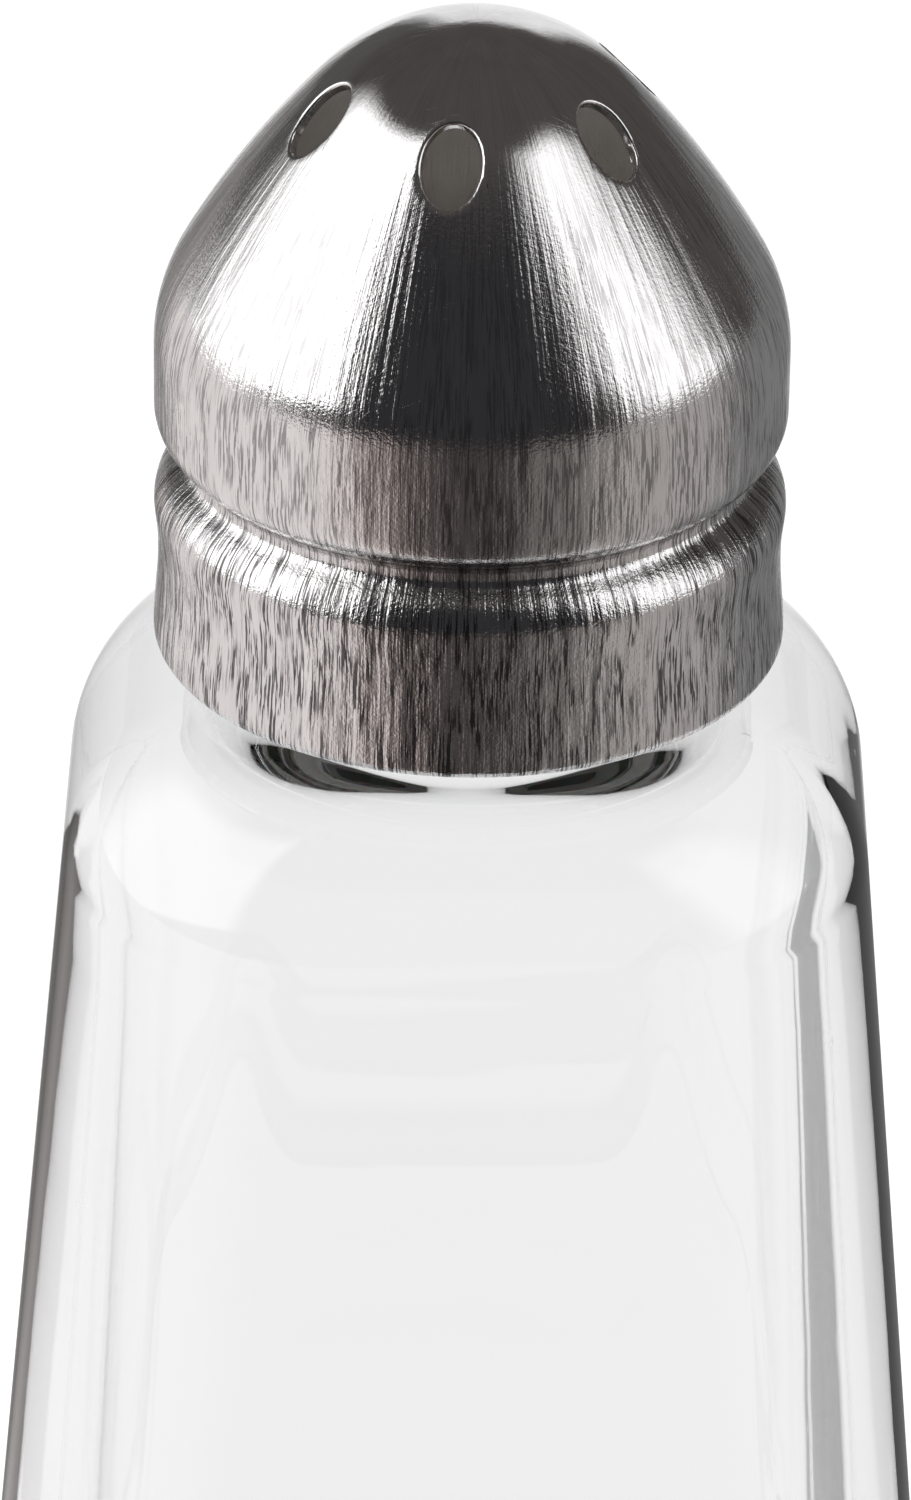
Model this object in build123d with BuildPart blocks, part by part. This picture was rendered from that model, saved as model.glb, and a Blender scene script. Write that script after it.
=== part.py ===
"""Square tapered glass shaker with a pierced metal screw cap, in millimetres.

The jar stands on z = 0 with its flats facing +-X and +-Y. The cap turns and
lifts along +Z. The cap's heights are stacked up from the sealing rim of the glass.
"""
from build123d import *
from math import atan, cos, degrees, radians, sin, sqrt
import os

# Glass jar
base_width = 46.8                # across the flats where it stands
shoulder_width = 33.2            # across the flats, carried up to the shoulder plane
body_height = 76.4               # resting plane to shoulder plane
corner_radius = 12.5             # the four upright corners
shoulder_radius = 8.7            # rounding from the walls over into the shoulder
heel_radius = 3.0                # rounding round the foot
foot_wall = 3.0                  # the walls thin out from the foot to the shoulder
shoulder_wall = 1.6
floor_thickness = 8.0
shoulder_thickness = 2.6
cavity_corner_radius = 10.5
cavity_edge_radius = 6.0         # floor and shoulder roundings inside
punt_radius = 13.0               # dished middle of the underside
punt_depth = 1.2
neck_height = 8.5                # shoulder plane to sealing rim
neck_wall = 2.9                  # bore to the crests of the thread
neck_mouth_radius = 1.6          # rounding from the cavity into the bore
rim_edge_radius = 0.7

# Cap shell, drawn from one sheet
sheet_thickness = 0.4
cap_standoff = 0.5               # shoulder plane to the cap's bottom edge
skirt_radius = 13.5
band_inset = 0.05                # how far the straight band above the groove stands in from the skirt
band_height = 2.41
crown_radius = 9.2
crown_slope = 48.5               # slope where the crown runs into the flank, in degrees
flank_slope = 60.5               # slope where the flank runs into the brow
brow_radius = 8.0
lip_radius = 0.55                # rounding from the band into the groove
groove_radius = 0.35
groove_rise = 1.09               # top of the liner to where the cap's shoulder meets the groove
shoulder_slope = 37.0            # how far the cap's shoulder leans in at the groove
hem_radius = 0.5
hem_width = 0.3                  # flat part of the turned-in hem
hole_count = 6
hole_radius = 1.32
hole_ring_radius = 6.95
hole_start_angle = -98           # of the first hole, when the cap is tight

# Threaded liner
liner_wall = 2.1
liner_clearance = 0.05           # to the shell, round it and below it
thread_clearance = 0.05          # to the thread crests of the neck
flange_thickness = 1.1
flange_width = 2.45              # how far the flange reaches in over the sealing rim
liner_chamfer = 0.3              # lead-in at the bottom, inside and out

# From the skirt inwards: the liner fills it, and the neck of the jar fits the liner
liner_radius = skirt_radius - sheet_thickness - liner_clearance
liner_bore_radius = liner_radius - liner_wall
flange_bore_radius = liner_bore_radius - flange_width
neck_radius = liner_bore_radius - thread_clearance
neck_bore_radius = neck_radius - neck_wall

neck_top = body_height + neck_height
wall_taper = (base_width - shoulder_width) / 2 / body_height
taper_angle = degrees(atan(wall_taper))
cavity_taper = wall_taper - (foot_wall - shoulder_wall) / body_height
cavity_taper_angle = degrees(atan(cavity_taper))
cavity_width = base_width - 2 * (foot_wall + cavity_taper * floor_thickness)     # at the floor


os.makedirs("parts", exist_ok=True)

# --- Inside of the jar, as a solid to cut with ---
cavity_top = body_height - shoulder_thickness

with BuildPart() as cavity:
    with BuildSketch(Plane.XY.offset(floor_thickness)):
        Rectangle(cavity_width, cavity_width)
    extrude(amount=cavity_top - floor_thickness, taper=cavity_taper_angle)
    fillet(cavity.edges().group_by(Axis.Z)[1], cavity_corner_radius)
    level_edges = cavity.edges().group_by(Axis.Z)
    fillet(level_edges[0] + level_edges[-1], cavity_edge_radius)
    with BuildSketch(Plane.XY.offset(cavity_top)):
        Circle(neck_bore_radius)
    extrude(amount=neck_top - cavity_top)
    mouth_edge = cavity.edges().filter_by(GeomType.CIRCLE).filter_by_position(
        Axis.Z, cavity_top - 0.01, cavity_top + 0.01)
    fillet(mouth_edge, neck_mouth_radius)

# --- Glass jar ---
punt_sphere_radius = (punt_radius**2 + punt_depth**2) / (2 * punt_depth)

with BuildPart() as glass_jar:
    with BuildSketch(Plane.XY):
        Rectangle(base_width, base_width)
    extrude(amount=body_height, taper=taper_angle)
    fillet(glass_jar.edges().group_by(Axis.Z)[1], corner_radius)
    fillet(glass_jar.edges().group_by(Axis.Z)[-1], shoulder_radius)
    fillet(glass_jar.edges().group_by(Axis.Z)[0], heel_radius)
    with BuildSketch(Plane.XY.offset(cavity_top)):
        Circle(neck_radius)
    extrude(amount=neck_top - cavity_top)
    add(cavity.part, mode=Mode.SUBTRACT)
    fillet(glass_jar.edges().group_by(Axis.Z)[-1], rim_edge_radius)
    with Locations((0, 0, punt_depth - punt_sphere_radius)):
        Sphere(punt_sphere_radius, mode=Mode.SUBTRACT)

glass_jar.part.label = "glass_jar"
export_step(glass_jar.part, "parts/glass_jar.step")

# --- Cap shell ---
band_radius = skirt_radius - band_inset
lean_sin, lean_cos = sin(radians(shoulder_slope)), cos(radians(shoulder_slope))
crown_sin, crown_cos = sin(radians(crown_slope)), cos(radians(crown_slope))
flank_sin, flank_cos = sin(radians(flank_slope)), cos(radians(flank_slope))
flank_reach = band_radius - crown_radius * crown_sin - brow_radius * (1 - flank_sin)
flank_radius = flank_reach / (flank_sin - crown_sin)
flank_height = flank_radius * (crown_cos - flank_cos)
dome_height = crown_radius * (1 - crown_cos) + flank_height + brow_radius * flank_cos

cap_bottom = body_height + cap_standoff
flange_top = neck_top + flange_thickness
groove_end_height = flange_top + groove_rise
groove_centre_height = groove_end_height + groove_radius * lean_sin
lip_height = groove_centre_height + groove_radius + lip_radius      # bottom of the straight band
cap_top = lip_height + band_height + dome_height

groove_centre = band_radius - lip_radius                            # distance from the axis
groove_end = groove_centre - groove_radius * lean_cos
shoulder_arc_radius = (skirt_radius - groove_end) / (1 - lean_cos)
shoulder_arc_centre = skirt_radius - shoulder_arc_radius
shoulder_arc_height = groove_end_height - shoulder_arc_radius * lean_sin
hem_opening_radius = skirt_radius - hem_radius - hem_width


def dome_line(inset):
    """Crown, flank, brow and band of the cap's half section, moved in by an inset."""
    crown = JernArc((0, cap_top - inset), (1, 0), crown_radius - inset, -crown_slope)
    flank = JernArc(crown @ 1, crown % 1, flank_radius - inset, crown_slope - flank_slope)
    brow = JernArc(flank @ 1, flank % 1, brow_radius - inset, flank_slope - 90)
    return Line(brow @ 1, (band_radius - inset, lip_height))


with BuildPart() as cap_shell:
    # All that lies under the outer surface, with the groove rolled in and the hem turned under
    with BuildSketch(Plane.XZ):
        with BuildLine():
            band = dome_line(0)
            lip = JernArc(band @ 1, (0, -1), lip_radius, -90)
            groove = JernArc(lip @ 1, (-1, 0), groove_radius, 90 + shoulder_slope)
            shoulder = JernArc(groove @ 1, groove % 1, shoulder_arc_radius, -shoulder_slope)
            skirt = Line(shoulder @ 1, (skirt_radius, cap_bottom + hem_radius))
            hem = JernArc(skirt @ 1, (0, -1), hem_radius, -90)
            Polyline(hem @ 1, (0, cap_bottom), (0, cap_top))
        make_face()
    revolve(axis=Axis.Z)

    # The hollow, one sheet thickness in, with the back of the groove as short straight folds
    back_radius = groove_radius + sheet_thickness
    with BuildSketch(Plane.XZ):
        with BuildLine():
            band = dome_line(sheet_thickness)
            fold_turns = [radians(turn) for turn in (90, 135, 180, 180 + shoulder_slope)]
            folds = [
                (groove_centre + back_radius * cos(turn), groove_centre_height + back_radius * sin(turn))
                for turn in fold_turns
            ]
            Polyline(band @ 1, *folds)
            shoulder = CenterArc((shoulder_arc_centre, shoulder_arc_height),
                                 shoulder_arc_radius - sheet_thickness, shoulder_slope, -shoulder_slope)
            Polyline(shoulder @ 1, (skirt_radius - sheet_thickness, cap_bottom + sheet_thickness),
                     (0, cap_bottom + sheet_thickness), (0, cap_top - sheet_thickness))
        make_face()
    revolve(axis=Axis.Z, mode=Mode.SUBTRACT)

    with BuildSketch(Plane.XY.offset(cap_bottom)):
        Circle(hem_opening_radius)
    extrude(amount=sheet_thickness, mode=Mode.SUBTRACT)
    with BuildSketch(Plane.XY.offset(lip_height)):
        with PolarLocations(hole_ring_radius, hole_count, start_angle=hole_start_angle):
            Circle(hole_radius)
    extrude(amount=cap_top - lip_height, mode=Mode.SUBTRACT)

cap_shell.part.label = "cap_shell"
export_step(cap_shell.part, "parts/cap_shell.step")

# --- Threaded liner, held in the skirt between the groove and the hem ---
liner_bottom = cap_bottom + sheet_thickness + liner_clearance
liner_arc_radius = shoulder_arc_radius - sheet_thickness - liner_clearance
flange_top_radius = shoulder_arc_centre + sqrt(liner_arc_radius**2 - (flange_top - shoulder_arc_height) ** 2)

with BuildPart() as thread_liner:
    with BuildSketch(Plane.XZ):
        with BuildLine():
            Polyline(
                (flange_top_radius, flange_top),
                (flange_bore_radius, flange_top),
                (flange_bore_radius, neck_top),
                (liner_bore_radius, neck_top),
                (liner_bore_radius, liner_bottom),
                (liner_radius, liner_bottom),
                (liner_radius, shoulder_arc_height),
            )
            RadiusArc((liner_radius, shoulder_arc_height), (flange_top_radius, flange_top), liner_arc_radius)
        make_face()
    revolve(axis=Axis.Z)
    chamfer(thread_liner.edges().group_by(Axis.Z)[0], liner_chamfer)

thread_liner.part.label = "thread_liner"
export_step(thread_liner.part, "parts/thread_liner.step")
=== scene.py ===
import math

import bpy
from mathutils import Matrix, Vector


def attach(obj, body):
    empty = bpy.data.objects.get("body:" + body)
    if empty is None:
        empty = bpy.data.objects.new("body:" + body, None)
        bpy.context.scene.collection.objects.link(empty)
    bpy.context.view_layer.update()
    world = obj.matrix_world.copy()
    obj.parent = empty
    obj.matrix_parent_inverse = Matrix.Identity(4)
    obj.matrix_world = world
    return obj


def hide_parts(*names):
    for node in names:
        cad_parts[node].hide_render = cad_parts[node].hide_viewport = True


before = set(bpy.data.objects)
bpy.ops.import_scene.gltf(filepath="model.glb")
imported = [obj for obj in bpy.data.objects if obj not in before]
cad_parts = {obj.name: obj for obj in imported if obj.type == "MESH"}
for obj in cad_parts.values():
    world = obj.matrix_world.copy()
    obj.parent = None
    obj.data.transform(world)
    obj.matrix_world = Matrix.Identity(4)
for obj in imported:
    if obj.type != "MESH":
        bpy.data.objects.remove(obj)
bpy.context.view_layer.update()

# Square glass shaker with a pierced steel screw cap.
# Lengths in the dictionaries are in millimetres and angles in degrees.
mm = 0.001


def deselectAll():
    if bpy.context.object and bpy.context.object.mode != "OBJECT":
        bpy.ops.object.mode_set(mode="OBJECT")
    bpy.ops.object.select_all(action="DESELECT")


def smoothStep(low, high, value):
    t = min(1.0, max(0.0, (value - low) / (high - low)))
    return t * t * (3 - 2 * t)


def arc(x, z, radius, start, end, steps):
    turns = [math.radians(start + (end - start) * i / steps) for i in range(steps + 1)]
    return [(x + radius * math.cos(turn), z + radius * math.sin(turn)) for turn in turns]


def run(first, last, steps):
    return [tuple(a + (b - a) * i / steps for a, b in zip(first, last)) for i in range(steps + 1)]


def lathe(name, profile, columns):
    # Draw the half section by extruding a vertex along it, then spin it round the axis.
    # Each point of the section numbers its ring, so that rings can be shaped afterwards.
    deselectAll()
    bpy.ops.mesh.primitive_plane_add(size=mm, location=(0, 0, 0))
    piece = bpy.context.object
    piece.name = name
    piece.data.name = name
    bpy.ops.object.mode_set(mode="EDIT")
    bpy.ops.mesh.select_mode(type="VERT")
    bpy.ops.mesh.select_all(action="SELECT")
    bpy.ops.mesh.merge(type="CENTER")
    x, z = profile[0]
    bpy.ops.transform.translate(value=(x * mm, 0, z * mm))
    for (x0, z0), (x1, z1) in zip(profile, profile[1:]):
        step = ((x1 - x0) * mm, 0, (z1 - z0) * mm)
        bpy.ops.mesh.extrude_vertices_move(TRANSFORM_OT_translate={"value": step})
    bpy.ops.object.mode_set(mode="OBJECT")
    rings = piece.data.attributes.new("ring", "INT", "POINT")
    for vert, ring in zip(piece.data.vertices, rings.data):
        away = [math.hypot(vert.co.x / mm - x, vert.co.z / mm - z) for x, z in profile]
        ring.value = away.index(min(away))
        x, z = profile[ring.value]
        vert.co = (x * mm, 0, z * mm)
    bpy.ops.object.mode_set(mode="EDIT")
    bpy.ops.mesh.select_all(action="SELECT")
    bpy.ops.mesh.spin(steps=columns, angle=2 * math.pi, center=(0, 0, 0), axis=(0, 0, 1))
    bpy.ops.mesh.select_all(action="SELECT")
    bpy.ops.mesh.remove_doubles(threshold=0.001 * mm)
    bpy.ops.mesh.normals_make_consistent(inside=False)
    bpy.ops.object.mode_set(mode="OBJECT")
    return piece


def ringNumbers(piece):
    numbers = [0] * len(piece.data.vertices)
    piece.data.attributes["ring"].data.foreach_get("value", numbers)
    return numbers


def finishPiece(piece, material, smoothAngle):
    deselectAll()
    piece.select_set(True)
    bpy.context.view_layer.objects.active = piece
    if "ring" in piece.data.attributes:
        piece.data.attributes.remove(piece.data.attributes["ring"])
    bpy.ops.object.shade_smooth_by_angle(angle=math.radians(smoothAngle))
    piece.data.materials.clear()
    piece.data.materials.append(material)
    print("made", piece.name, len(piece.data.polygons), "faces")


# Camera
cameraSet = {
    "azimuth": 0.0,
    "elevation": 29.2,
    "roll": 0.75,
    "distance": 400.0,
    "aimAcross": -0.48,
    "aimHeight": 70.88,
    "focalLength": 222.0,
}


def makeCamera(c):
    a, e, roll = (math.radians(c[key]) for key in ("azimuth", "elevation", "roll"))
    back = Vector((math.sin(a) * math.cos(e), -math.cos(a) * math.cos(e), math.sin(e)))
    right = Vector((math.cos(a), math.sin(a), 0))
    up = back.cross(right)
    aim = right * c["aimAcross"] * mm + Vector((0, 0, c["aimHeight"] * mm))
    turnedRight = right * math.cos(roll) + up * math.sin(roll)
    turnedUp = up * math.cos(roll) - right * math.sin(roll)
    place = aim + back * c["distance"] * mm
    deselectAll()
    bpy.ops.object.camera_add(location=place)
    camera = bpy.context.object
    camera.name = "camera"
    camera.data.lens = c["focalLength"]
    camera.data.clip_start = 0.02
    rows = Matrix((turnedRight, turnedUp, back)).transposed()
    camera.matrix_world = Matrix.Translation(place) @ rows.to_4x4()
    bpy.context.scene.camera = camera


makeCamera(cameraSet)
bpy.context.scene.view_settings.view_transform = "Standard"
print("camera set")


# Node helpers
def addNode(tree, kind, place=(0, 0), links=None, **settings):
    node = tree.nodes.new(kind)
    node.location = place
    for key, value in settings.items():
        setattr(node, key, value)
    for key, value in (links or {}).items():
        if isinstance(value, bpy.types.NodeSocket):
            tree.links.new(value, node.inputs[key])
        else:
            node.inputs[key].default_value = value
    return node


def sums(tree, operation, a, b=None, c=None, clamp=False):
    links = {i: value for i, value in enumerate((a, b, c)) if value is not None}
    return addNode(tree, "ShaderNodeMath", links=links, operation=operation, use_clamp=clamp).outputs[0]


def fade(tree, value, low, high, start=0.0, end=1.0):
    # smooth change from start to end while the value goes from low to high
    links = {"Value": value, "From Min": low, "From Max": high, "To Min": start, "To Max": end}
    node = addNode(tree, "ShaderNodeMapRange", links=links, interpolation_type="SMOOTHSTEP")
    return node.outputs["Result"]


def blendColors(tree, factor, a, b):
    node = addNode(tree, "ShaderNodeMix", data_type="RGBA")
    for socket, value in ((node.inputs[0], factor), (node.inputs[6], a), (node.inputs[7], b)):
        if isinstance(value, bpy.types.NodeSocket):
            tree.links.new(value, socket)
        else:
            socket.default_value = value
    return node.outputs[2]


def compass(tree, vector):
    # bearing round the shaker in radians, 0 towards the front and rising to the right, and height
    parts = addNode(tree, "ShaderNodeSeparateXYZ", links={"Vector": vector}).outputs
    front = sums(tree, "MULTIPLY", parts["Y"], -1.0)
    return sums(tree, "ARCTAN2", parts["X"], front), parts["Z"]


# Studio: white backdrop behind, a soft box on each side, an unlit room above and in front.
# Bearings run round the shaker in degrees, 0 in front and 90 on the right. Four numbers are a window:
# it fades in over the first two and out over the last two.
studio = {
    "roomColor": (0.086, 0.080, 0.076, 1),
    "frontColor": (0.035, 0.034, 0.037, 1),
    "gapColor": (0.11, 0.108, 0.106, 1),
    "gap": (-178, -168, -126, -114),
    "gapTop": (16, 26),
    "backdropTop": (18, 27),
    "backdropBearing": 176,
    "backdropReach": (8, 17),
    "leftBox": {
        "bearings": (-136, -106, -52, -44), "elevations": (0, 3, 47, 60), "lean": (0, 0.3), "leanFrom": 25,
        "glow": 2.2},
    "rightBox": {
        "bearings": (44, 62, 80, 106), "elevations": (-2, 4, 50, 62), "lean": (-0.45, 0), "leanFrom": 25,
        "glow": 1.6},
    "frontBearings": (-50, -38, 38, 50),
    "frontElevations": (46, 60),
    "glassFront": (-75, -50, 50, 75),
    "glassGrey": (0.60, 0.60, 0.60, 1),
    "glassWhite": (0.92, 0.92, 0.925, 1),
    "glassTop": (48, 66),
    "fill": 0.42,
    "floorColor": (0.86, 0.86, 0.86, 1),
    "floorGlow": 0.35,
    "floorLit": (0.25, 0.9),
    # painted light and shade of the room on the table, by bearing round the shaker, seen only in reflections:
    # pale where lit on the left, a painted shadow in front and mid grey on the right
    "paintedTableReflections": {
        -170: (1, 1, 1, 1),
        -160: (0.25, 0.24, 0.24, 1),
        -146: (0.30, 0.29, 0.28, 1),
        -134: (0.95, 0.90, 0.89, 1),
        -60: (1, 0.95, 0.94, 1),
        -44: (0.80, 0.74, 0.72, 1),
        -34: (0.42, 0.35, 0.33, 1),
        -22: (0.15, 0.13, 0.12, 1),
        -8: (0.07, 0.06, 0.06, 1),
        12: (0.07, 0.06, 0.06, 1),
        24: (0.18, 0.17, 0.16, 1),
        44: (0.25, 0.23, 0.22, 1),
        56: (0.50, 0.47, 0.45, 1),
        90: (0.48, 0.45, 0.44, 1),
        110: (0.25, 0.25, 0.25, 1),
        160: (0.22, 0.22, 0.22, 1),
        170: (1, 1, 1, 1)},
    # painted shade on the floor under the jar, seen only through the glass, fading out between the two
    # distances of the next line
    "paintedShadeUnderFoot": (0.90, 0.90, 0.91, 1),
    "footShadeReach": (0.019, 0.045),
}
softBoxes = {
    "softBoxLeft": {
        "bearing": -83, "elevation": 31, "roll": -5, "distance": 600, "height": 80, "size": (860, 560),
        "glow": 2.4},
    "softBoxRight": {
        "bearing": 67, "elevation": 27, "roll": 0, "distance": 600, "height": 80, "size": (560, 560),
        "glow": 1.9},
}


def window(tree, value, edges):
    # 1 between the middle two edges, in degrees, fading to 0 at the outer two
    a, b, c, d = (math.radians(edge) for edge in edges)
    return sums(tree, "MULTIPLY", fade(tree, value, a, b), fade(tree, value, c, d, 1.0, 0.0))


def bearingRamp(tree, bearing, colors):
    share = sums(tree, "MULTIPLY_ADD", bearing, 1 / (2 * math.pi), 0.5)
    ramp = addNode(tree, "ShaderNodeValToRGB", links={"Fac": share})
    stops = ramp.color_ramp.elements
    for i, (angle, color) in enumerate(sorted(colors.items())):
        stop = stops[0] if i == 0 else stops.new(angle / 360 + 0.5)
        stop.position, stop.color = angle / 360 + 0.5, color
    stops.remove(stops[-1])
    return ramp.outputs["Color"]


def makeWorld(s):
    world = bpy.data.worlds.new("studioAir")
    bpy.context.scene.world = world
    world.use_nodes = True
    tree = world.node_tree
    tree.nodes.clear()
    direction = addNode(tree, "ShaderNodeTexCoord").outputs["Generated"]
    bearing, height = compass(tree, direction)
    elevation = sums(tree, "ARCSINE", height)
    around = sums(tree, "MODULO", sums(tree, "ADD", bearing, 2 * math.pi), 2 * math.pi)
    offBackdrop = sums(tree, "ABSOLUTE", sums(tree, "SUBTRACT", around, math.radians(s["backdropBearing"])))
    near, far = (math.radians(v) for v in s["backdropReach"])
    low, high = (math.radians(v) for v in s["backdropTop"])
    backdrop = sums(tree, "MULTIPLY", fade(tree, offBackdrop, near, far, 1.0, 0.0),
                    fade(tree, elevation, low, high, 1.0, 0.0))
    low, high = (math.radians(v) for v in s["frontElevations"])
    front = sums(tree, "MULTIPLY", window(tree, bearing, s["frontBearings"]),
                 fade(tree, elevation, low, high, 1.0, 0.0))
    low, high = (math.radians(v) for v in s["gapTop"])
    gap = sums(tree, "MULTIPLY", window(tree, bearing, s["gap"]), fade(tree, elevation, low, high, 1.0, 0.0))
    seen = blendColors(tree, front, s["roomColor"], s["frontColor"])
    seen = blendColors(tree, gap, seen, s["gapColor"])
    seen = blendColors(tree, backdrop, seen, (1, 1, 1, 1))
    for box in (s["leftBox"], s["rightBox"]):
        # leaning edges: the bearing changes with the elevation, or the elevation with the bearing
        middle = math.radians((box["bearings"][1] + box["bearings"][2]) / 2)
        aside = sums(tree, "MULTIPLY_ADD", elevation, -box["lean"][0],
                     math.radians(box["leanFrom"]) * box["lean"][0])
        upright = sums(tree, "MULTIPLY_ADD", bearing, -box["lean"][1], middle * box["lean"][1])
        lit = sums(tree, "MULTIPLY", window(tree, sums(tree, "ADD", bearing, aside), box["bearings"]),
                   window(tree, sums(tree, "ADD", elevation, upright), box["elevations"]))
        seen = blendColors(tree, lit, seen, (box["glow"],) * 3 + (1,))
    # through the glass the sides are white too, the front is grey and only the room above is dark
    low, high = (math.radians(v) for v in s["glassTop"])
    through = blendColors(tree, window(tree, bearing, s["glassFront"]), s["glassWhite"], s["glassGrey"])
    through = blendColors(tree, fade(tree, elevation, low, high), through, s["roomColor"])
    path = addNode(tree, "ShaderNodeLightPath").outputs
    plain = blendColors(tree, path["Is Camera Ray"], (s["fill"],) * 3 + (1,), (1, 1, 1, 1))
    color = blendColors(tree, path["Is Glossy Ray"], plain, seen)
    color = blendColors(tree, path["Is Transmission Ray"], color, through)
    light = addNode(tree, "ShaderNodeBackground", links={"Color": color, "Strength": 1.0})
    addNode(tree, "ShaderNodeOutputWorld", links={"Surface": light.outputs[0]})


def makeSoftBox(name, s):
    a, e = math.radians(s["bearing"]), math.radians(s["elevation"])
    away = Vector((math.sin(a) * math.cos(e), -math.cos(a) * math.cos(e), math.sin(e)))
    deselectAll()
    place = away * s["distance"] * mm + Vector((0, 0, s["height"] * mm))
    bpy.ops.object.light_add(type="AREA", location=place)
    lamp = bpy.context.object
    lamp.name = name
    roll = Matrix.Rotation(math.radians(s["roll"]), 3, "Z").to_quaternion()
    lamp.rotation_euler = (away.to_track_quat("Z", "Y") @ roll).to_euler()
    width, height = (side * mm for side in s["size"])
    lamp.data.shape = "RECTANGLE"
    lamp.data.size, lamp.data.size_y = width, height
    lamp.data.energy = s["glow"] * math.pi * width * height
    lamp.visible_camera = False
    lamp.visible_glossy = False
    lamp.visible_transmission = False


def makeFloor(s):
    deselectAll()
    bpy.ops.mesh.primitive_circle_add(vertices=96, radius=4, fill_type="NGON", location=(0, 0, 0))
    floor = bpy.context.object
    floor.name = "floor"
    material = bpy.data.materials.new("paleFloorPaintedReflections")
    material.use_nodes = True
    tree = material.node_tree
    tree.nodes.clear()
    place = addNode(tree, "ShaderNodeTexCoord").outputs["Object"]
    bearing, height = compass(tree, place)
    # for glossy rays the floor glows with a painted reflection of the room's light and shade instead of its
    # own colour
    paintedRoomReflection = bearingRamp(tree, bearing, s["paintedTableReflections"])
    path = addNode(tree, "ShaderNodeLightPath").outputs
    cloth = addNode(tree, "ShaderNodeBsdfDiffuse", links={"Color": s["floorColor"]})
    reach = addNode(tree, "ShaderNodeVectorMath", links={0: place}, operation="LENGTH").outputs["Value"]
    near, far = s["floorLit"]
    glow = sums(tree, "MULTIPLY", path["Is Camera Ray"], fade(tree, reach, near, far, s["floorGlow"], 1.0))
    lit = addNode(tree, "ShaderNodeEmission", links={"Color": (1, 1, 1, 1), "Strength": glow})
    both = addNode(tree, "ShaderNodeAddShader", links={0: cloth.outputs[0], 1: lit.outputs[0]})
    # through the glass the floor is white, with a painted shade under the jar
    near, far = s["footShadeReach"]
    through = blendColors(tree, fade(tree, reach, near, far), s["paintedShadeUnderFoot"], s["glassWhite"])
    color = blendColors(tree, path["Is Transmission Ray"], paintedRoomReflection, through)
    mirrored = addNode(tree, "ShaderNodeEmission", links={"Color": color, "Strength": 1.0})
    indirect = sums(tree, "MAXIMUM", path["Is Glossy Ray"], path["Is Transmission Ray"])
    mixed = addNode(tree, "ShaderNodeMixShader", links={
        0: indirect, 1: both.outputs[0], 2: mirrored.outputs[0]})
    addNode(tree, "ShaderNodeOutputMaterial", links={"Surface": mixed.outputs[0]})
    floor.data.materials.append(material)


makeWorld(studio)
for lampName, lampSet in softBoxes.items():
    makeSoftBox(lampName, lampSet)
makeFloor(studio)
print("studio set")


# Shared effects, as node groups
def makeGroup(name, inputs, outputs):
    group = bpy.data.node_groups.new(name, "ShaderNodeTree")
    for label, kind, value in inputs:
        socket = group.interface.new_socket(label, in_out="INPUT", socket_type=kind)
        if value is not None:
            socket.default_value = value
    for label, kind in outputs:
        group.interface.new_socket(label, in_out="OUTPUT", socket_type=kind)
    start = group.nodes.new("NodeGroupInput")
    end = group.nodes.new("NodeGroupOutput")
    return group, start.outputs, end


def useGroup(tree, group, **values):
    node = tree.nodes.new("ShaderNodeGroup")
    node.node_tree = group
    for key, value in values.items():
        socket = node.inputs[key]
        if isinstance(value, bpy.types.NodeSocket):
            tree.links.new(value, socket)
        else:
            socket.default_value = value
    return node.outputs


def noise(tree, vector, scale, detail=2.0, roughness=0.5):
    return addNode(tree, "ShaderNodeTexNoise", links={
        "Vector": vector, "Scale": scale, "Detail": detail, "Roughness": roughness}).outputs[0]


# Where on the cap the marks of the draw come and go. Heights and distances from the axis are in mm.
drawing = {
    "flankStart": (2.2, 6.2),
    "crownFoot": (98.5, 103.5),
    "bandTop": (89.5, 96.5),
    "skirtTop": (84.5, 87.5),
    "dentsTop": (77.2, 83.5),
    "wear": 0.45,
    "bandWear": 0.25,
    "skirtWear": 0.3,
    "crownWear": 0.25,
    "broadShare": 0.6,
    "dashEdge": (0.49, 0.54),
    "patchEdge": (0.34, 0.56),
}


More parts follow.
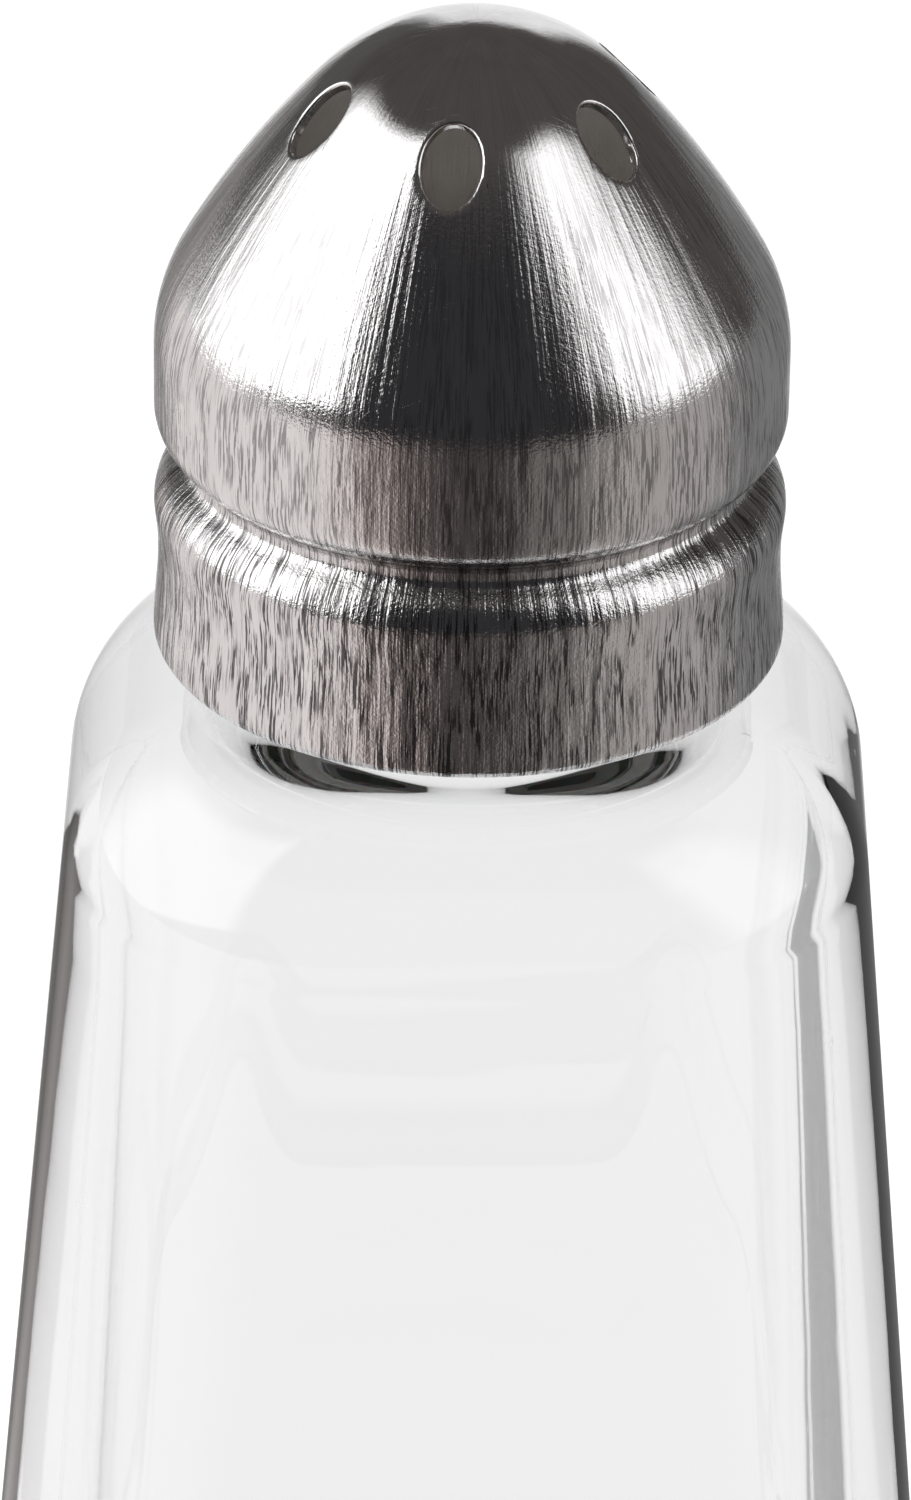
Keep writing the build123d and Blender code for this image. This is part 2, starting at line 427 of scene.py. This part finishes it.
def makeDrawLines(d):
    # streaks left by the draw, running down the cap, with the grain of the sheet on them
    group, given, end = makeGroup("drawLines", (
        ("Place", "NodeSocketVector", None),
        ("Around", "NodeSocketFloat", 42.0),
        ("Along", "NodeSocketFloat", 130.0),
        ("Grain", "NodeSocketFloat", 6500.0),
    ), (("Streaks", "NodeSocketFloat"), ("Grain", "NodeSocketFloat"), ("Dashes", "NodeSocketFloat"),
        ("Dents", "NodeSocketFloat"), ("Wear", "NodeSocketFloat")))
    parts = addNode(group, "ShaderNodeSeparateXYZ", links={"Vector": given["Place"]}).outputs
    flat = addNode(group, "ShaderNodeCombineXYZ", links={"X": parts["X"], "Y": parts["Y"]}).outputs[0]
    radius = addNode(group, "ShaderNodeVectorMath", links={0: flat}, operation="LENGTH").outputs["Value"]
    around = addNode(group, "ShaderNodeVectorMath", links={0: flat}, operation="NORMALIZE").outputs[0]

    def wrapped(acrossScale, alongScale):
        across = sums(group, "MULTIPLY", given["Around"], acrossScale)
        turned = addNode(group, "ShaderNodeVectorMath", links={0: around, "Scale": across}, operation="SCALE")
        along = sums(group, "MULTIPLY", sums(group, "MULTIPLY", given["Along"], alongScale), parts["Z"])
        rise = addNode(group, "ShaderNodeCombineXYZ", links={"Z": along})
        ends = {0: turned.outputs[0], 1: rise.outputs[0]}
        return addNode(group, "ShaderNodeVectorMath", links=ends, operation="ADD").outputs[0]

    def fadeMm(value, edges, start=1.0, end=0.0):
        return fade(group, value, edges[0] * mm, edges[1] * mm, start, end)

    fine = noise(group, wrapped(1.0, 1.0), 1.0, 3.0, 0.6)
    broad = noise(group, wrapped(0.36, 0.4), 1.0, 2.0)
    fineShare = 1 - d["broadShare"]
    streaks = sums(group, "MULTIPLY_ADD", broad, d["broadShare"], sums(group, "MULTIPLY", fine, fineShare))
    even = noise(group, given["Place"], 900.0, 3.0)
    onFlank = fadeMm(radius, d["flankStart"], 0.0, 1.0)
    mixed = addNode(group, "ShaderNodeMix", links={0: onFlank, 2: even, 3: streaks}, data_type="FLOAT")
    grain = noise(group, given["Place"], given["Grain"], 2.0, 0.6)
    dash = noise(group, wrapped(3.8, 5.0), 1.0, 2.0, 0.55)
    patchy = noise(group, wrapped(0.5, 2.5), 1.0, 3.0)
    dashes = sums(group, "MULTIPLY", fade(group, dash, *d["dashEdge"]), fade(group, patchy, *d["patchEdge"]))
    low = fadeMm(parts["Z"], d["dentsTop"])
    dents = sums(group, "MULTIPLY", noise(group, wrapped(0.42, 0.25), 1.0, 1.0), low)
    # more worn on the skirt, less towards the crown
    skirt = fadeMm(parts["Z"], d["skirtTop"])
    band = fadeMm(parts["Z"], d["bandTop"])
    crown = fadeMm(parts["Z"], d["crownFoot"], 1.0, d["crownWear"])
    wear = sums(group, "MULTIPLY_ADD", skirt, d["skirtWear"], d["wear"])
    wear = sums(group, "MULTIPLY_ADD", band, d["bandWear"], wear)
    wear = sums(group, "MULTIPLY", wear, crown)
    results = {"Streaks": mixed.outputs[0], "Grain": grain, "Dashes": dashes, "Dents": dents, "Wear": wear}
    for label, socket in results.items():
        group.links.new(socket, end.inputs[label])
    return group


def makeScuffs():
    # hair-fine scratches in two directions, and soft handling marks
    group, given, end = makeGroup("scuffs", (
        ("Place", "NodeSocketVector", None),
        ("Scale", "NodeSocketFloat", 160.0),
        ("Width", "NodeSocketFloat", 0.012),
    ), (("Scratches", "NodeSocketFloat"), ("Smears", "NodeSocketFloat")))
    lines = None
    for turn, stretch in ((0.7, 14.0), (2.3, 11.0)):
        turned = addNode(group, "ShaderNodeMapping", links={
            "Vector": given["Place"], "Rotation": (turn, 0.4, turn * 2), "Scale": (1.0, stretch, 1.0)})
        band = noise(group, turned.outputs[0], given["Scale"], 3.0)
        offLine = sums(group, "ABSOLUTE", sums(group, "SUBTRACT", band, 0.5))
        line = sums(group, "LESS_THAN", offLine, given["Width"])
        gate = fade(group, noise(group, given["Place"], 330.0 + 90 * turn, 1.0), 0.58, 0.66)
        line = sums(group, "MULTIPLY", line, gate)
        lines = line if lines is None else sums(group, "MAXIMUM", lines, line)
    group.links.new(lines, end.inputs["Scratches"])
    group.links.new(noise(group, given["Place"], 120.0, 3.0, 0.55), end.inputs["Smears"])
    return group


drawLines = makeDrawLines(drawing)
scuffs = makeScuffs()


def startMaterial(name):
    material = bpy.data.materials.new(name)
    material.use_nodes = True
    tree = material.node_tree
    shader = tree.nodes["Principled BSDF"]
    place = addNode(tree, "ShaderNodeTexCoord").outputs["Object"]
    return material, tree, shader, place


steelSet = {
    "dark": (0.56, 0.55, 0.55, 1),
    "light": (0.80, 0.79, 0.79, 1),
    "dashColor": (0.055, 0.050, 0.050, 1),
    "dashing": 0.9,
    "roughness": (0.06, 0.12),
    "streakDepth": 0.13,
    "grainDepth": 0.025,
    "dentDepth": 0.10,
    "inside": (0.90, 0.86, 0.82, 1),
    "insideRoughness": 0.55,
}


def makeSteel(s):
    material, tree, shader, place = startMaterial("drawnSteel")
    lines = useGroup(tree, drawLines, Place=place)
    marks = useGroup(tree, scuffs, Place=place)
    dashes = sums(tree, "MULTIPLY", lines["Dashes"], sums(tree, "MULTIPLY", lines["Wear"], s["dashing"]))
    tint = blendColors(tree, lines["Streaks"], s["dark"], s["light"])
    tint = blendColors(tree, dashes, tint, s["dashColor"])
    inside = addNode(tree, "ShaderNodeAttribute", attribute_name="inside").outputs["Fac"]
    tint = blendColors(tree, inside, tint, s["inside"])
    shader.inputs["Metallic"].default_value = 1.0
    tree.links.new(tint, shader.inputs["Base Color"])
    worn = sums(tree, "MULTIPLY_ADD", lines["Grain"], 0.5, sums(tree, "MULTIPLY", marks["Smears"], 0.5))
    low, high = s["roughness"]
    rough = addNode(tree, "ShaderNodeMapRange", links={
        "Value": worn, "From Min": 0.3, "From Max": 0.7, "To Min": low, "To Max": high}).outputs[0]
    rough = sums(tree, "MULTIPLY_ADD", dashes, 0.2, rough)
    rough = sums(tree, "MULTIPLY_ADD", inside, s["insideRoughness"], rough)
    tree.links.new(rough, shader.inputs["Roughness"])
    streaks = sums(tree, "MULTIPLY", lines["Streaks"], lines["Wear"])
    height = sums(tree, "MULTIPLY", streaks, s["streakDepth"] * mm)
    grain = sums(tree, "MULTIPLY", lines["Grain"], lines["Wear"])
    height = sums(tree, "MULTIPLY_ADD", grain, s["grainDepth"] * mm, height)
    height = sums(tree, "MULTIPLY_ADD", lines["Dents"], s["dentDepth"] * mm, height)
    height = sums(tree, "MULTIPLY_ADD", marks["Scratches"], -0.0006 * mm, height)
    bump = addNode(tree, "ShaderNodeBump", links={"Strength": 1.0, "Distance": 1.0, "Height": height})
    tree.links.new(bump.outputs[0], shader.inputs["Normal"])
    return material


glassSet = {
    "color": (0.99, 0.99, 0.99, 1),
    "index": 1.52,
    "wave": 0.02,
    "seeds": 0.004,
}


def makeGlass(s):
    material, tree, shader, place = startMaterial("clearGlass")
    marks = useGroup(tree, scuffs, Place=place, Scale=120.0, Width=0.008)
    shader.inputs["Base Color"].default_value = s["color"]
    shader.inputs["Transmission Weight"].default_value = 1.0
    shader.inputs["IOR"].default_value = s["index"]
    wave = noise(tree, place, 75.0, 2.0)
    cells = addNode(tree, "ShaderNodeTexVoronoi", links={"Vector": place, "Scale": 420.0}).outputs["Distance"]
    few = fade(tree, noise(tree, place, 260.0, 1.0), 0.6, 0.66)
    seeds = sums(tree, "MULTIPLY", fade(tree, cells, 0.05, 0.13, 1.0, 0.0), few)
    height = sums(tree, "MULTIPLY", wave, s["wave"] * mm)
    height = sums(tree, "MULTIPLY_ADD", seeds, s["seeds"] * mm, height)
    bump = addNode(tree, "ShaderNodeBump", links={"Strength": 1.0, "Distance": 1.0, "Height": height})
    tree.links.new(bump.outputs[0], shader.inputs["Normal"])
    rough = sums(tree, "MULTIPLY", marks["Smears"], 0.03)
    rough = sums(tree, "MULTIPLY_ADD", marks["Scratches"], 0.05, rough)
    tree.links.new(rough, shader.inputs["Roughness"])
    return material


plasticSet = {
    "cloudy": (0.74, 0.73, 0.69, 1),
    "clear": (0.82, 0.81, 0.78, 1),
    "roughness": (0.34, 0.5),
}


def makePlastic(s):
    material, tree, shader, place = startMaterial("milkyPlastic")
    marks = useGroup(tree, scuffs, Place=place, Scale=240.0)
    flow = noise(tree, place, 420.0, 4.0)
    tree.links.new(blendColors(tree, flow, s["cloudy"], s["clear"]), shader.inputs["Base Color"])
    low, high = s["roughness"]
    rough = sums(tree, "MULTIPLY_ADD", marks["Smears"], high - low, low)
    tree.links.new(rough, shader.inputs["Roughness"])
    shader.inputs["Subsurface Weight"].default_value = 0.25
    shader.inputs["Subsurface Scale"].default_value = 0.001
    grain = sums(tree, "MULTIPLY", noise(tree, place, 5000.0), 0.002 * mm)
    bump = addNode(tree, "ShaderNodeBump", links={"Strength": 1.0, "Distance": 1.0, "Height": grain})
    tree.links.new(bump.outputs[0], shader.inputs["Normal"])
    return material


steel = makeSteel(steelSet)
glass = makeGlass(glassSet)
plastic = makePlastic(plasticSet)
print("materials made")


# Cap shell: one drawn sheet, so its outer surface is spun and then given its thickness inwards
cap = {
    "sheet": 0.4,
    "bottom": 76.9,
    "skirt": 13.5,
    "band": 13.45,
    "bandBottom": 88.0,
    "bandHeight": 2.61,
    "crown": 9.2,
    "crownSlope": 48.5,
    "flankSlope": 60.5,
    "brow": 8.0,
    "lip": 1.8,
    "lipTurn": 62,
    "groove": 0.7,
    "slope": 50,
    "bead": 2.6,
    "waist": 0.2,
    "hem": 0.5,
    "hemWidth": 0.3,
    "columns": 192,
    "holes": 6,
    "holeRing": 6.95,
    "holeStart": -98,
    "holeRadius": 1.27,
    "holeField": 3.35,
    "holeBlock": 0.375,
    "holeEdge": 0.13,
}


def capDome(c):
    # returns the height of the crown, flank and brow over a distance from the axis
    crownSin, crownCos = math.sin(math.radians(c["crownSlope"])), math.cos(math.radians(c["crownSlope"]))
    flankSin, flankCos = math.sin(math.radians(c["flankSlope"])), math.cos(math.radians(c["flankSlope"]))
    flank = (c["band"] - c["crown"] * crownSin - c["brow"] * (1 - flankSin)) / (flankSin - crownSin)
    browZ = c["bandBottom"] + c["bandHeight"]
    top = browZ + c["crown"] * (1 - crownCos) + flank * (crownCos - flankCos) + c["brow"] * flankCos
    crownEnd = c["crown"] * crownSin
    flankX, flankZ = crownEnd - flank * crownSin, top - c["crown"] * (1 - crownCos) - flank * crownCos
    flankEnd = flankX + flank * flankSin
    browX = c["band"] - c["brow"]

    def height(r):
        if r <= crownEnd:
            return top - c["crown"] + math.sqrt(c["crown"] ** 2 - r ** 2)
        if r <= flankEnd:
            return flankZ + math.sqrt(flank ** 2 - (r - flankX) ** 2)
        return browZ + math.sqrt(max(0.0, c["brow"] ** 2 - (r - browX) ** 2))
    return height, flankEnd, browX, browZ


domeHeight, flankEnd, browX, browZ = capDome(cap)


def capProfile(c):
    inner, outer = c["holeRing"] - c["holeField"], c["holeRing"] + c["holeField"]
    radii = [inner * i / 6 for i in range(6)]
    radii += [inner + (outer - inner) * i / 32 for i in range(33)]
    radii += [outer + (flankEnd - outer) * i / 6 for i in range(1, 6)]
    points = [(r, domeHeight(r)) for r in radii]
    points += arc(browX, browZ, c["brow"], 90 - c["flankSlope"], 0, 9)
    points += run((c["band"], browZ), (c["band"], c["bandBottom"]), 5)[1:]
    lipX = c["band"] - c["lip"]
    points += arc(lipX, c["bandBottom"], c["lip"], 0, -c["lipTurn"], 9)[1:]
    turn, slope = math.radians(c["lipTurn"]), math.radians(c["slope"])
    grooveX = points[-1][0] + c["groove"] * math.cos(turn)
    grooveZ = points[-1][1] - c["groove"] * math.sin(turn)
    points += arc(grooveX, grooveZ, c["groove"], 180 - c["lipTurn"], 180 + c["slope"], 9)[1:]
    beadX = c["skirt"] - c["bead"]
    out = beadX + c["bead"] * math.cos(slope) - points[-1][0]
    beadZ = points[-1][1] - out / math.tan(slope) - c["bead"] * math.sin(slope)
    points += arc(beadX, beadZ, c["bead"], c["slope"], 0, 14)
    points += run((c["skirt"], beadZ), (c["skirt"], c["bottom"] + c["hem"]), 18)[1:]
    points += arc(c["skirt"] - c["hem"], c["bottom"] + c["hem"], c["hem"], 0, -90, 7)[1:]
    hemX = c["skirt"] - c["hem"]
    points += run((hemX, c["bottom"]), (hemX - c["hemWidth"], c["bottom"]), 2)[1:]
    return points, beadZ


def makeCap(c, material):
    profile, beadZ = capProfile(c)
    piece = lathe("capShell", profile, c["columns"])
    # the skirt draws in a little under the bead
    hemTop = c["bottom"] + c["hem"]
    for vert in piece.data.vertices:
        t = (vert.co.z / mm - hemTop) / (beadZ - hemTop)
        pinch = c["waist"] * smoothStep(0.0, 0.6, t) * (1 - smoothStep(0.72, 1.15, t))
        reach = math.hypot(vert.co.x, vert.co.y)
        if pinch:
            vert.co.x *= 1 - pinch * mm / reach
            vert.co.y *= 1 - pinch * mm / reach

    # slide the grid round each hole to its circle, and note what falls inside
    half = c["holeBlock"]
    blockTurn = 2 * math.pi / c["holes"]
    inside = []
    for vert in piece.data.vertices:
        reach = math.hypot(vert.co.x, vert.co.y) / mm
        if vert.co.z / mm < c["bandBottom"] or abs(reach - c["holeRing"]) > c["holeField"] + 1e-4:
            continue
        turn = math.atan2(vert.co.y, vert.co.x) + math.pi / 2
        number = round(turn / blockTurn)
        a = (turn - number * blockTurn) / (blockTurn / 2)
        b = (reach - c["holeRing"]) / c["holeField"]
        t = max((abs(a) - half) / (1 - half), (abs(b) - half) / (1 - half))
        if t < -1e-4:
            inside.append(vert.index)
            continue
        t = max(0.0, t)
        middle = number * blockTurn - math.pi / 2
        centre = Vector((math.cos(middle), math.sin(middle))) * c["holeRing"]
        scale = half + (1 - half) * t
        edgeTurn, edgeReach = middle + a / scale * blockTurn / 2, c["holeRing"] + b / scale * c["holeField"]
        edge = Vector((math.cos(edgeTurn), math.sin(edgeTurn))) * edgeReach
        rim = centre + (edge - centre).normalized() * c["holeRadius"]
        spot = rim.lerp(edge, t)
        vert.co = (spot.x * mm, spot.y * mm, domeHeight(spot.length) * mm)
    bpy.ops.object.mode_set(mode="EDIT")
    bpy.ops.mesh.select_mode(type="VERT")
    bpy.ops.mesh.select_all(action="DESELECT")
    bpy.ops.object.mode_set(mode="OBJECT")
    for index in inside:
        piece.data.vertices[index].select = True
    bpy.ops.object.mode_set(mode="EDIT")
    bpy.ops.mesh.delete(type="VERT")
    bpy.ops.object.mode_set(mode="OBJECT")

    wall = piece.modifiers.new("sheetThickness", "SOLIDIFY")
    wall.thickness = c["sheet"] * mm
    wall.offset = -1
    bpy.ops.object.modifier_apply(modifier=wall.name)
    # the back of the sheet was left dull by the press
    inside = piece.data.attributes.new("inside", "FLOAT", "FACE")
    for face, mark in zip(piece.data.polygons, inside.data):
        away = Vector((face.center.x, face.center.y, max(0.0, face.center.z - c["bandBottom"] * mm)))
        mark.value = 1.0 if face.normal.dot(away) < -0.3 * away.length else 0.0
    roundHoleEdges(piece, c)
    # the grid was laid out with a hole at -90 degrees, and a tight cap stands a little further round
    bpy.ops.object.mode_set(mode="EDIT")
    bpy.ops.mesh.select_all(action="SELECT")
    turn = -math.radians(c["holeStart"] + 90)
    bpy.ops.transform.rotate(value=turn, orient_axis="Z", center_override=(0, 0, 0))
    bpy.ops.object.mode_set(mode="OBJECT")
    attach(piece, "cap")
    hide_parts("cap_shell")
    finishPiece(piece, material, 38)
    return piece


def roundHoleEdges(piece, c):
    # only the outer edges of the holes, which are sharp and lie on the dome
    bpy.ops.object.mode_set(mode="EDIT")
    bpy.ops.mesh.select_mode(type="EDGE")
    bpy.ops.mesh.select_all(action="DESELECT")
    bpy.ops.mesh.edges_select_sharp(sharpness=math.radians(50))
    bpy.ops.object.mode_set(mode="OBJECT")
    verts = piece.data.vertices
    for edge in piece.data.edges:
        if edge.select:
            spots = [verts[i].co for i in edge.vertices]
            reach = [math.hypot(spot.x, spot.y) / mm for spot in spots]
            edge.select = all(spot.z / mm > c["bandBottom"] and abs(spot.z / mm - domeHeight(r)) < 0.05
                              for spot, r in zip(spots, reach))
    bpy.ops.object.mode_set(mode="EDIT")
    bpy.ops.mesh.bevel(offset=c["holeEdge"] * mm, segments=4, profile=0.5)
    bpy.ops.object.mode_set(mode="OBJECT")


capShell = makeCap(cap, steel)


# Screw thread shared by the neck and the liner: right-handed, with faded ends
thread = {"pitch": 3.175, "first": 78.9, "turns": 1.45, "crest": 0.35, "foot": 1.0, "fade": 0.09}


def threadRise(turn, z, t, shift=0.0, turns=None):
    turns = turns or t["turns"]
    best = 0.0
    for lap in range(-1, 4):
        along = turn / (2 * math.pi) + lap
        if 0 <= along <= turns:
            away = abs(z - shift - t["first"] - t["pitch"] * along)
            ends = min(1.0, along / t["fade"], (turns - along) / t["fade"])
            best = max(best, (1 - smoothStep(t["crest"], t["foot"], away)) * smoothStep(0, 1, ends))
    return best


# Jar: a closed section spun like the cap's, then its body rings are squared
jar = {
    "base": 46.8,
    "shoulderWidth": 33.2,
    "bodyHeight": 76.4,
    "corner": 12.5,
    "shoulder": 8.7,
    "heel": 3.0,
    "footWall": 3.0,
    "shoulderWall": 1.6,
    "floor": 8.0,
    "roof": 2.6,
    "cavityCorner": 10.5,
    "cavityEdge": 6.0,
    "punt": 13.0,
    "puntDepth": 1.2,
    "neckHeight": 8.5,
    "neckRoot": 9.95,
    "neckCrest": 10.88,
    "neckFoot": 10.88,
    "neckSkirt": 11.35,
    "neckBend": 0.45,
    "threadFrom": 78.0,
    "threadRings": 44,
    "bore": 8.0,
    "mouth": 2.0,
    "plungerTurn": 1.0,
    "plungerShift": -0.15,
    "rimEdge": 0.7,
    "columns": 256,
    "crowding": 0.45,
}


def squareReach(half, corner, turn):
    # distance from the axis to a square with rounded corners, at an angle
    quarter = (turn + math.pi / 4) % (math.pi / 2) - math.pi / 4
    straight = half / math.cos(quarter)
    tangent = half - corner
    if abs(math.tan(quarter)) * half <= tangent:
        return straight
    q = abs(quarter)
    lean = tangent * (math.cos(q) + math.sin(q))
    return lean + math.sqrt(max(0.0, corner ** 2 - tangent ** 2 * (math.cos(q) - math.sin(q)) ** 2))


def jarRings(j):
    # each ring: nominal distance from the axis, height, and how its outline is found
    taper = (j["base"] - j["shoulderWidth"]) / 2 / j["bodyHeight"]
    lean = math.hypot(1, taper)
    wallTurn = math.degrees(math.atan(taper))
    rings = []

    def roundRing(r, z):
        rings.append({"r": r, "z": z, "round": r})

    def squareRing(wallHalf, corner, z, x):
        # wallHalf is how far out the straight wall stands at this height
        rings.append({"r": x, "z": z, "half": x, "corner": corner - (wallHalf - x)})

    sphere = (j["punt"] ** 2 + j["puntDepth"] ** 2) / (2 * j["puntDepth"])
    for i in range(9):
        r = j["punt"] * i / 8
        roundRing(r, j["puntDepth"] - sphere + math.sqrt(sphere ** 2 - r ** 2))
    half, corner = j["base"] / 2, j["corner"]
    heelX = half - taper * j["heel"] - j["heel"] * lean
    for i in range(1, 4):
        share = i / 4
        rings.append({"r": j["punt"] + (heelX - j["punt"]) * share, "z": 0.0, "round": j["punt"],
                      "share": share, "half": heelX, "corner": corner - (half - heelX)})
    for x, z in arc(heelX, j["heel"], j["heel"], -90, wallTurn, 10):
        squareRing(half - taper * z, corner, z, x)
    shoulderZ = j["bodyHeight"] - j["shoulder"]
    shoulderX = half - taper * shoulderZ - j["shoulder"] * lean
    lowest = rings[-1]["z"]
    start = shoulderZ + j["shoulder"] * math.sin(math.radians(wallTurn))
    for i in range(1, 20):
        z = lowest + (start - lowest) * i / 20
        squareRing(half - taper * z, corner, z, half - taper * z)
    neckOut = j["neckSkirt"]
    for i, (x, z) in enumerate(arc(shoulderX, shoulderZ, j["shoulder"], wallTurn, 90, 18)):
        squareRing(half - taper * z, corner, z, x)
        rings[-1]["dome"] = (shoulderX, rings[-1]["corner"] - (x - shoulderX), j["shoulder"], j["bodyHeight"])
        rings[-1]["least"] = neckOut + 0.4 * (1 - i / 18)
        rings[-1]["round"] = neckOut
        rings[-1]["share"] = 1 - smoothStep(0.25, 1.0, i / 18)
        rings[-1]["r"] = x if i < 8 else x + (neckOut - x) * smoothStep(0.25, 1.0, i / 18) + 0.02 * (18 - i)
    for x, z in arc(neckOut, j["bodyHeight"] + j["neckBend"], j["neckBend"], -90, -180, 4)[1:]:
        roundRing(x, z)
    top = j["bodyHeight"] + j["neckHeight"]
    for z in (77.2, 77.5, 77.8):
        roundRing(j["neckFoot"], z)
    neckLow, steps = j["threadFrom"], j["threadRings"]
    for i in range(steps + 1):
        z = neckLow + (top - j["rimEdge"] - neckLow) * i / steps
        rings.append({"r": j["neckRoot"], "z": z, "round": j["neckRoot"], "thread": True})
    for x, z in arc(j["neckRoot"] - j["rimEdge"], top - j["rimEdge"], j["rimEdge"], 0, 90, 6)[1:]:
        roundRing(x, z)
    for x, z in run((j["neckRoot"] - j["rimEdge"], top), (j["bore"] + j["rimEdge"], top), 3)[1:]:
        roundRing(x, z)
    for x, z in arc(j["bore"] + j["rimEdge"], top - j["rimEdge"], j["rimEdge"], 90, 180, 6)[1:]:
        roundRing(x, z)
    roofZ = j["bodyHeight"] - j["roof"]
    mouthZ = roofZ + j["mouth"]
    for x, z in run((j["bore"], top - j["rimEdge"]), (j["bore"], mouthZ), 10)[1:]:
        roundRing(x, z)
    for x, z in arc(j["bore"] + j["mouth"], mouthZ, j["mouth"], 180, 270, 8)[1:]:
        roundRing(x, z)
    inner = half - j["footWall"]
    slope = taper - (j["footWall"] - j["shoulderWall"]) / j["bodyHeight"]
    slopeTurn = math.degrees(math.atan(slope))
    edge, insideCorner = j["cavityEdge"], j["cavityCorner"]
    edgeZ = roofZ - edge
    edgeX = inner - slope * edgeZ - edge * math.hypot(1, slope)
    mouthEnd = j["bore"] + j["mouth"]
    for i, (x, z) in enumerate(arc(edgeX, edgeZ, edge, 90, slopeTurn, 14)[1:]):
        squareRing(inner - slope * z, insideCorner, z, x)
        out = mouthEnd + 0.3 * (i + 1)
        rings[-1].update(dome=(edgeX, rings[-1]["corner"] - (x - edgeX), edge, roofZ), least=out, round=out,
                         share=smoothStep(0.0, 0.8, (i + 1) / 14), r=max(x, out))
    floorEdgeZ = j["floor"] + edge
    floorX = inner - slope * floorEdgeZ - edge * math.hypot(1, slope)
    high, low = rings[-1]["z"], floorEdgeZ + edge * math.sin(math.radians(slopeTurn))
    for z in (high + (low - high) * i / 16 for i in range(1, 16)):
        squareRing(inner - slope * z, insideCorner, z, inner - slope * z)
    for x, z in arc(floorX, floorEdgeZ, edge, slopeTurn, -90, 14):
        squareRing(inner - slope * z, insideCorner, z, x)
    floorCorner = rings[-1]["corner"]
    for share in (1 - i / 7 for i in range(1, 8)):
        rings.append({"r": floorX * share, "z": j["floor"], "round": 0.0, "share": share, "half": floorX,
                      "corner": floorCorner})
    return rings


def domeDrop(dome, x, y):
    # height of a rounded edge over a point, measured in from its flat top's outline
    half, corner, radius, top = dome
    tangent = half - corner
    dx, dy = abs(x) - tangent, abs(y) - tangent
    if dx > 0 and dy > 0:
        away = math.hypot(dx, dy) - corner
    else:
        away = max(dx, dy) - corner
    away = min(max(0.0, away), radius * 0.9999)
    return top - radius + math.sqrt(radius ** 2 - away ** 2)


def makeJar(j, material):
    rings = jarRings(j)
    hollow = max(i for i, ring in enumerate(rings) if ring["z"] > j["bodyHeight"])
    piece = lathe("glassJar", [(ring["r"], ring["z"]) for ring in rings], j["columns"])
    for vert, number in zip(piece.data.vertices, ringNumbers(piece)):
        ring = rings[number]
        if math.hypot(vert.co.x, vert.co.y) < 1e-6:
            vert.co.z = ring["z"] * mm
            continue
        turn = math.atan2(vert.co.y, vert.co.x)
        turn += j["crowding"] / 4 * math.sin(4 * turn)     # more columns in the corners
        reach, z = ring.get("round", 0.0), ring["z"]
        if "half" in ring:
            square = max(squareReach(ring["half"], ring["corner"], turn), ring.get("least", 0.0))
            reach += (square - reach) * ring.get("share", 1.0)
        if "thread" in ring:
            reach += (j["neckCrest"] - j["neckRoot"]) * threadRise(turn, z, thread)
        x, y = reach * math.cos(turn), reach * math.sin(turn)
        if "dome" in ring:
            z = domeDrop(ring["dome"], x, y)
        if number >= hollow:
            # the plunger that pressed the hollow stood a little off and askew
            sunk = smoothStep(0.0, 8.0, j["bodyHeight"] - j["roof"] - z)
            askew = math.radians(j["plungerTurn"]) * sunk
            x, y = (x * math.cos(askew) - y * math.sin(askew) + j["plungerShift"] * sunk,
                    x * math.sin(askew) + y * math.cos(askew))
        vert.co = (x * mm, y * mm, z * mm)
    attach(piece, "jar")
    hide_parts("glass_jar")
    finishPiece(piece, material, 180)
    return piece


glassJar = makeJar(jar, glass)


# Liner: moulded ring with a thread inside, under the steel
liner = {
    "outer": 12.85,
    "bottom": 77.37,
    "seat": 84.93,
    "top": 85.98,
    "outline": ((11.6, 85.98), (11.6, 85.15), (11.95, 84.85), (12.5, 84.35), (12.86, 83.5)),
    "flange": 8.5,
    "bore": 10.94,
    "ridge": 0.78,
    "ease": 0.3,
    "columns": 160,
}


def makeLiner(p, material):
    steps = 34
    profile = [(p["flange"], p["seat"]), (p["flange"], p["top"])] + list(p["outline"])
    profile += [(p["outer"], p["bottom"] + p["ease"]), (p["outer"] - p["ease"], p["bottom"])]
    profile += [(p["bore"] + p["ease"], p["bottom"])]
    wall = run((p["bore"], p["bottom"] + p["ease"]), (p["bore"], p["seat"]), steps)
    first = len(profile)
    profile += wall
    profile += [(p["bore"] - 0.8, p["seat"]), (p["flange"] + 0.1, p["seat"])]
    piece = lathe("threadLiner", profile + [profile[0]], p["columns"])
    for vert, number in zip(piece.data.vertices, ringNumbers(piece)):
        if first < number < first + steps:
            turn = math.atan2(vert.co.y, vert.co.x)
            rise = threadRise(turn, vert.co.z / mm, thread, thread["pitch"] / 2, 1.3)
            reach = p["bore"] - p["ridge"] * rise
            vert.co.x, vert.co.y = reach * mm * math.cos(turn), reach * mm * math.sin(turn)
    deselectAll()
    piece.select_set(True)
    bpy.context.view_layer.objects.active = piece
    bevel = piece.modifiers.new("softEdges", "BEVEL")
    bevel.width = 0.12 * mm
    bevel.segments = 2
    bevel.limit_method = "ANGLE"
    bevel.angle_limit = math.radians(40)
    bpy.ops.object.modifier_apply(modifier=bevel.name)
    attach(piece, "cap")
    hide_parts("thread_liner")
    finishPiece(piece, material, 40)
    return piece


threadLiner = makeLiner(liner, plastic)
